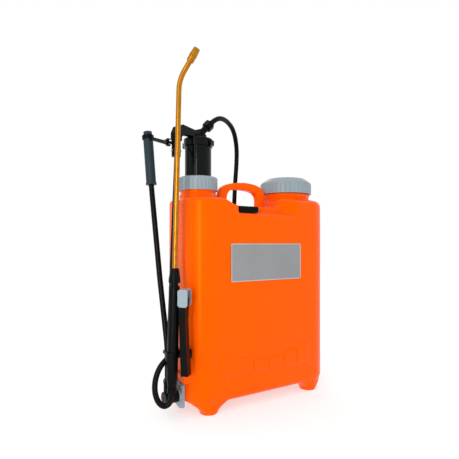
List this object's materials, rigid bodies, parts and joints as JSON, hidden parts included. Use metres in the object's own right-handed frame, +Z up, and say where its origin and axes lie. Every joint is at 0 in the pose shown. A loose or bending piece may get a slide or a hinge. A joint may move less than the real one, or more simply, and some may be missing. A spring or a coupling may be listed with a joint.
{
  "type": "knapsack sprayer",
  "caption": "Knapsack sprayer: moulded tank with carrying handle, side lever pump with moving air chamber, screw filler lid, hose, spray gun with bent lance, and shoulder straps.",
  "frame": {"origin": "on the floor, at the middle of the footprint of the whole sprayer without its hose", "axes": "+Z up, +X towards the filler lid, -Y out of the labelled front, +Y towards the wearer's back"},
  "size_m": [0.4623, 0.2205, 0.7472],
  "materials": {
    "tank_plastic": "satin moulded polyethylene",
    "grey_plastic": "satin moulded",
    "black_plastic": "satin moulded",
    "grip_plastic": "ribbed, satin",
    "white_plastic": "moulded",
    "rubber_seal": "moulded",
    "hose_rubber": "smooth extruded",
    "lance_brass": "drawn, satin",
    "steel": "zinc plated",
    "black_steel": "black painted",
    "label": "printed satin plate",
    "webbing": "woven",
    "pad_fabric": "foam pad in woven cover"
  },
  "bodies": {
    "tank_body": {"tank": "tank_plastic", "gun_ledge": "tank_plastic", "label_plate": "label", "collar_gasket": "rubber_seal", "pump_cylinder": "white_plastic", "intake_valve_seat": "white_plastic", "intake_strainer": "white_plastic", "filler_strainer": "white_plastic", "lever_bracket": "grey_plastic", "bracket_screws": "steel", "gun_body": "black_plastic", "trigger_pin": "steel", "gun_filter": "white_plastic", "valve_seal": "rubber_seal", "valve_spring": "steel", "gun_clip": "black_plastic", "hose_lower": "hose_rubber", "strap_bar": "black_plastic", "strap_yoke": "webbing", "strap_pad_left": "pad_fabric", "strap_pad_right": "pad_fabric", "strap_web_left": "webbing", "strap_web_right": "webbing", "strap_hooks": "black_plastic", "strap_buckles": "black_plastic"},
    "pump_collar": {"pump_collar": "grey_plastic"},
    "chamber": {"air_chamber": "black_plastic", "chamber_cap": "black_plastic", "cap_seal": "rubber_seal", "dip_tube": "white_plastic", "piston": "white_plastic", "piston_cup": "rubber_seal", "ball_cage": "white_plastic", "pump_arm": "black_plastic", "rod_pin": "steel", "outlet_elbow": "black_plastic", "connecting_rod": "black_steel", "hose_upper": "hose_rubber"},
    "pump_hose_nut": {"pump_hose_nut": "black_plastic"},
    "intake_ball": {"intake_ball": "steel"},
    "outlet_ball": {"outlet_ball": "steel"},
    "lid_carrier": {"lid_gasket": "rubber_seal"},
    "lid": {"filler_lid": "grey_plastic", "lid_vent_valve": "rubber_seal"},
    "lever": {"lever_shaft": "steel", "lever_hub": "black_plastic", "crank_pin": "steel", "lever_tube": "black_steel", "lever_grip": "grip_plastic", "parking_stay": "black_plastic"},
    "trigger": {"trigger_lever": "black_plastic"},
    "valve_stem": {"valve_stem": "steel"},
    "trigger_lock": {"trigger_lock": "grey_plastic"},
    "lance_nut": {"lance_nut": "black_plastic"},
    "lance": {"lance_tube": "lance_brass", "nozzle_body": "lance_brass", "nozzle_swirl": "lance_brass"},
    "nozzle_cap": {"nozzle_cap": "lance_brass"},
    "gun_hose_nut": {"gun_hose_nut": "black_plastic"}
  },
  "joints": [
    {"name": "collar_turn", "type": "hinge", "parent": "tank_body", "child": "pump_collar", "pos_m": [-0.10967, 0.01221, 0.495], "axis": [0, 0, 1], "continuous": true},
    {"name": "pump_lever", "type": "hinge", "parent": "tank_body", "child": "lever", "pos_m": [-0.18567, -0.01579, 0.04], "axis": [-1, 0, 0], "range_deg": [0, 68]},
    {"name": "chamber_slide", "type": "slide", "parent": "tank_body", "child": "chamber", "axis": [0, 0, -1], "range_m": [0, 0.03843], "deforming": ["hose_upper"]},
    {"name": "hose_nut_turn", "type": "hinge", "parent": "chamber", "child": "pump_hose_nut", "pos_m": [-0.08387, 0.01221, 0.6308], "axis": [0.7071, 0, 0.7071], "continuous": true},
    {"name": "intake_ball_lift", "type": "slide", "parent": "tank_body", "child": "intake_ball", "axis": [0, 0, 1], "range_m": [0, 0.008]},
    {"name": "outlet_ball_lift", "type": "slide", "parent": "chamber", "child": "outlet_ball", "axis": [0, 0, 1], "range_m": [0, 0.005]},
    {"name": "lid_lift", "type": "slide", "parent": "tank_body", "child": "lid_carrier", "axis": [0, 0, 1], "range_m": [0, 0.12]},
    {"name": "lid_turn", "type": "hinge", "parent": "lid_carrier", "child": "lid", "pos_m": [0.14533, 0.01221, 0.505], "axis": [0, 0, 1], "continuous": true},
    {"name": "trigger_squeeze", "type": "hinge", "parent": "tank_body", "child": "trigger", "pos_m": [-0.18793, -0.0714, 0.24835], "axis": [0.7073, 0.7068, 0.0116], "range_deg": [0, 3.3], "stiffness_Nm_per_rad": 4, "springref_deg": -5.73},
    {"name": "valve_stem_slide", "type": "slide", "parent": "tank_body", "child": "valve_stem", "axis": [-0.7068, 0.7068, 0.029], "range_m": [0, 0.001]},
    {"name": "lock_flip", "type": "hinge", "parent": "tank_body", "child": "trigger_lock", "pos_m": [-0.18793, -0.0714, 0.24835], "axis": [0.7073, 0.7068, 0.0116], "range_deg": [0, 30]},
    {"name": "lance_nut_turn", "type": "hinge", "parent": "tank_body", "child": "lance_nut", "pos_m": [-0.20077, -0.05935, 0.29687], "axis": [0.0123, -0.0287, 0.9995], "continuous": true},
    {"name": "lance_turn", "type": "hinge", "parent": "tank_body", "child": "lance", "pos_m": [-0.20028, -0.06049, 0.33685], "axis": [0.0123, -0.0287, 0.9995], "continuous": true},
    {"name": "nozzle_cap_turn", "type": "hinge", "parent": "lance", "child": "nozzle_cap", "pos_m": [-0.17763, -0.08954, 0.72693], "axis": [0.3746, -0.3886, 0.8418], "continuous": true},
    {"name": "gun_nut_turn", "type": "hinge", "parent": "tank_body", "child": "gun_hose_nut", "pos_m": [-0.20369, -0.05255, 0.05999], "axis": [0.0123, -0.0287, 0.9995], "continuous": true}
  ],
  "couplings": [
    {"joint": "chamber_slide", "follows": "pump_lever", "m_per_rad": 0.032039},
    {"joint": "valve_stem_slide", "follows": "trigger_squeeze", "m_per_rad": 0.016}
  ]
}
